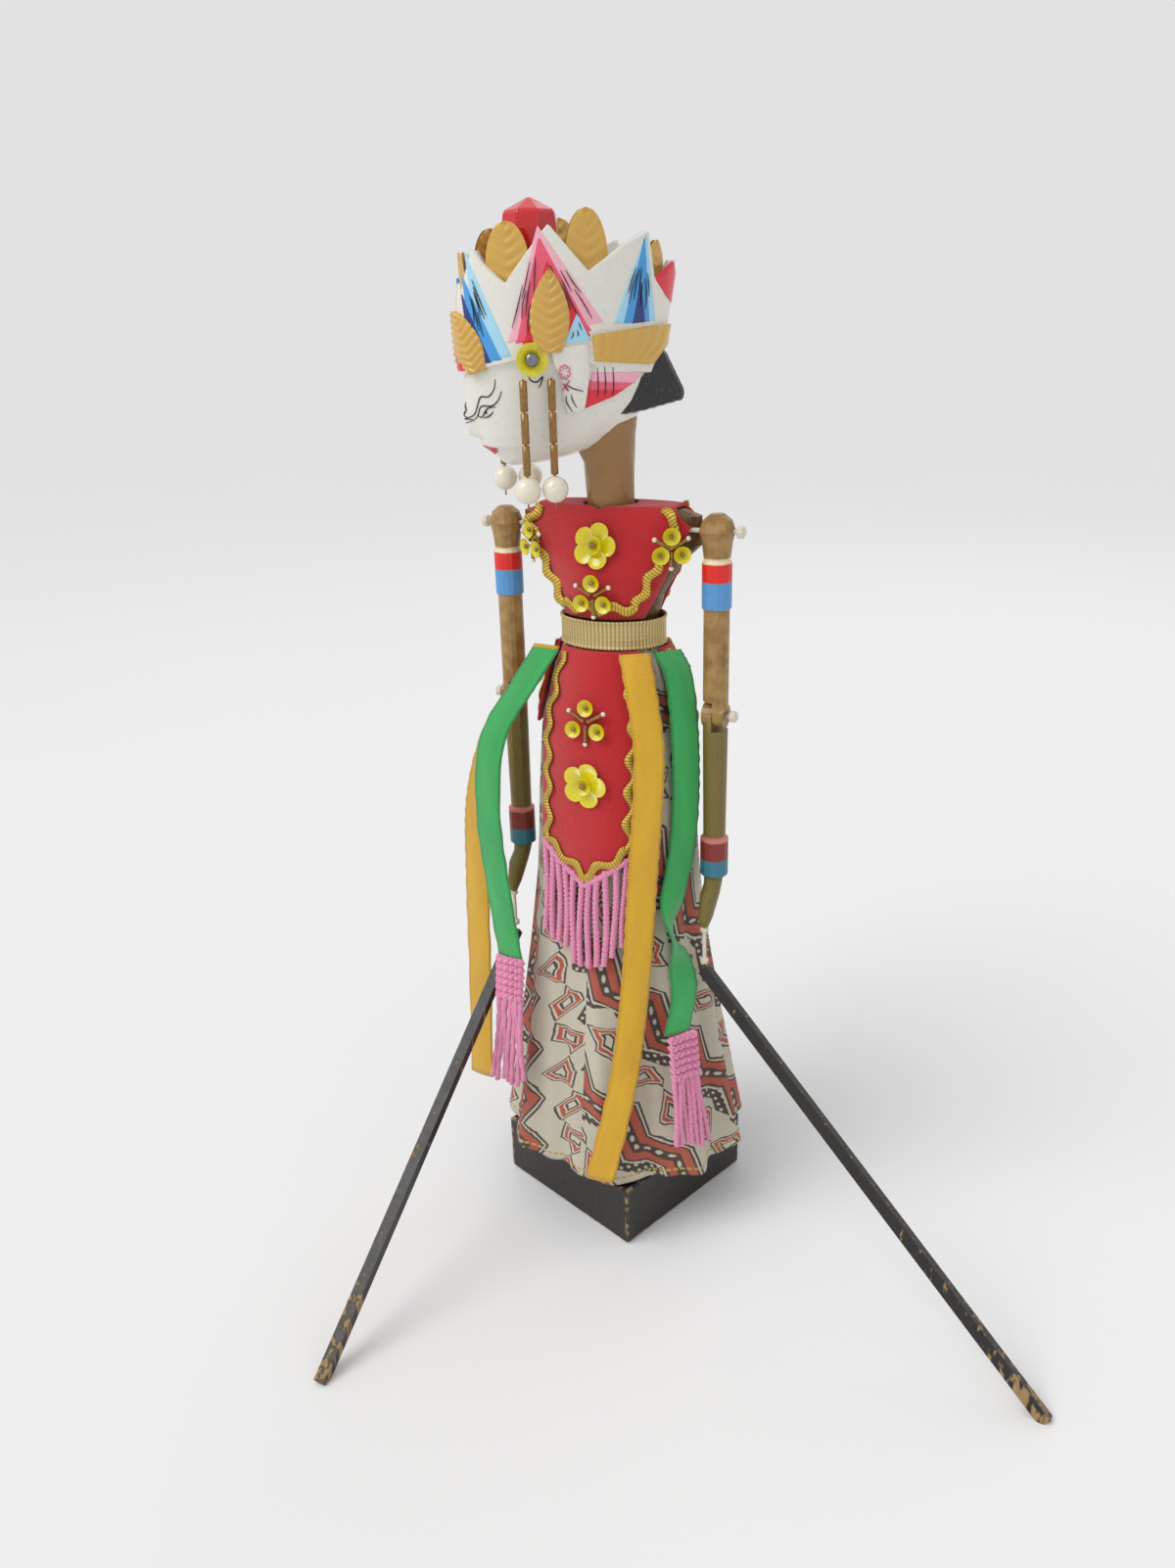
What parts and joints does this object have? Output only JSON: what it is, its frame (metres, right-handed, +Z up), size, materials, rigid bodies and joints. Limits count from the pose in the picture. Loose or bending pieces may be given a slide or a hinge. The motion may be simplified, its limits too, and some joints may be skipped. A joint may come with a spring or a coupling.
{
  "type": "rod puppet on stand",
  "caption": "Carved rod puppet with jointed arms, cloth clothes and two hand sticks, standing on a square wooden block.",
  "frame": {"origin": "centre of the stand block's underside", "axes": "+Z up along the rod, -Y the way the puppet's chest faces, +X towards the puppet's left hand"},
  "size_m": [0.2253, 0.1816, 0.3523],
  "materials": {
    "black_paint": "satin black paint, worn at the edges",
    "bare_wood": "bare turned wood",
    "bronze_paint": "bronze-brown paint on carved wood",
    "arm_paint": "gold-brown paint with painted bands",
    "head_paint": "glossy white, gold, red, pink and blue paint on carved wood",
    "red_gloss": "glossy red paint",
    "felt": "red felt",
    "gold_braid": "wavy gold metallic braid",
    "belt_elastic": "pale gold ribbed elastic",
    "batik": "printed batik cotton",
    "yellow_satin": "yellow satin ribbon",
    "green_satin": "green satin ribbon",
    "pink_yarn": "pink twisted cord",
    "sequin": "clear yellow plastic",
    "nail_steel": "dull steel",
    "pearl_beads": "pearl white bead with brown-gold bugle beads",
    "cotton": "white cotton string"
  },
  "bodies": {
    "stand": {"base_block": "black_paint"},
    "rod": {"central_rod": "bare_wood"},
    "body": {"torso": "bronze_paint", "bib": "felt", "bib_braid_front": "gold_braid", "bib_braid_back": "gold_braid", "belt": "belt_elastic", "skirt": "batik", "apron": "felt", "apron_braid": "gold_braid", "apron_fringe": "pink_yarn", "hip_panel_l": "felt", "hip_panel_r": "felt", "hip_braid_l": "gold_braid", "hip_braid_r": "gold_braid", "ribbon_yellow_l": "yellow_satin", "ribbon_green_l": "green_satin", "ribbon_yellow_r": "yellow_satin", "ribbon_green_r": "green_satin", "tassel_l": "pink_yarn", "tassel_r": "pink_yarn", "chest_flower": "sequin", "belly_cluster": "sequin", "shoulder_cluster_l": "sequin", "shoulder_cluster_r": "sequin", "apron_cluster": "sequin", "apron_flower": "sequin", "shoulder_string_l": "cotton", "shoulder_string_r": "cotton"},
    "head": {"head": "head_paint", "crown_knob": "red_gloss", "ear_sequin_l": "sequin", "ear_sequin_r": "sequin", "ear_nail_l": "nail_steel", "ear_nail_r": "nail_steel"},
    "earring_left": {"earring_l_front": "pearl_beads", "earring_l_rear": "pearl_beads"},
    "earring_right": {"earring_r_front": "pearl_beads", "earring_r_rear": "pearl_beads"},
    "arm_left": {"upper_arm_l": "arm_paint", "elbow_string_l": "cotton"},
    "arm_right": {"upper_arm_r": "arm_paint", "elbow_string_r": "cotton"},
    "hand_left": {"forearm_l": "arm_paint"},
    "hand_right": {"forearm_r": "arm_paint"},
    "tie_left": {"hand_tie_l": "cotton"},
    "tie_right": {"hand_tie_r": "cotton"},
    "stick_left": {"stick_l": "black_paint"},
    "stick_right": {"stick_r": "black_paint"}
  },
  "joints": [
    {"name": "lift_out", "type": "slide", "parent": "stand", "child": "rod", "axis": [0, 0, 1], "range_m": [0, 0.03]},
    {"name": "body_turn", "type": "hinge", "parent": "rod", "child": "body", "pos_m": [0, 0, 0.22], "axis": [0, 0, 1], "range_deg": [-90, 90]},
    {"name": "head_turn", "type": "hinge", "parent": "rod", "child": "head", "pos_m": [0, 0, 0.28], "axis": [0, 0, 1], "range_deg": [-90, 90]},
    {"name": "earring_left_swing", "type": "hinge", "parent": "head", "child": "earring_left", "pos_m": [-0.0094, -0.0323, 0.3028], "axis": [-0.766, -0.6428, 0], "range_deg": [-3, 35]},
    {"name": "earring_right_swing", "type": "hinge", "parent": "head", "child": "earring_right", "pos_m": [-0.0335, -0.0037, 0.3028], "axis": [0.766, 0.6428, 0], "range_deg": [-3, 35]},
    {"name": "shoulder_left", "type": "hinge", "parent": "body", "child": "arm_left", "pos_m": [0.0377, -0.003, 0.256], "axis": [-1, 0, 0], "range_deg": [-25, 80]},
    {"name": "shoulder_right", "type": "hinge", "parent": "body", "child": "arm_right", "pos_m": [-0.0377, -0.003, 0.256], "axis": [-1, 0, 0], "range_deg": [-8, 80], "deforming": ["ribbon_green_r", "ribbon_yellow_r", "tassel_r"]},
    {"name": "elbow_left", "type": "hinge", "parent": "arm_left", "child": "hand_left", "pos_m": [0.0377, -0.003, 0.196], "axis": [-1, 0, 0], "range_deg": [0, 85]},
    {"name": "elbow_right", "type": "hinge", "parent": "arm_right", "child": "hand_right", "pos_m": [-0.0377, -0.003, 0.196], "axis": [-1, 0, 0], "range_deg": [0, 85]},
    {"name": "tie_left_turn", "type": "hinge", "parent": "hand_left", "child": "tie_left", "pos_m": [0.0377, -0.012, 0.1217], "axis": [0, 0, 1], "range_deg": [-30, 30]},
    {"name": "tie_right_turn", "type": "hinge", "parent": "hand_right", "child": "tie_right", "pos_m": [-0.0377, -0.012, 0.1217], "axis": [0, 0, 1], "range_deg": [-30, 30]},
    {"name": "stick_left_swing", "type": "hinge", "parent": "tie_left", "child": "stick_left", "pos_m": [0.0377, -0.012, 0.1051], "axis": [-0.3325, -0.9431, 0], "range_deg": [0, 45]},
    {"name": "stick_right_swing", "type": "hinge", "parent": "tie_right", "child": "stick_right", "pos_m": [-0.0377, -0.012, 0.1051], "axis": [-0.9973, 0.073, 0], "range_deg": [0, 30]}
  ]
}
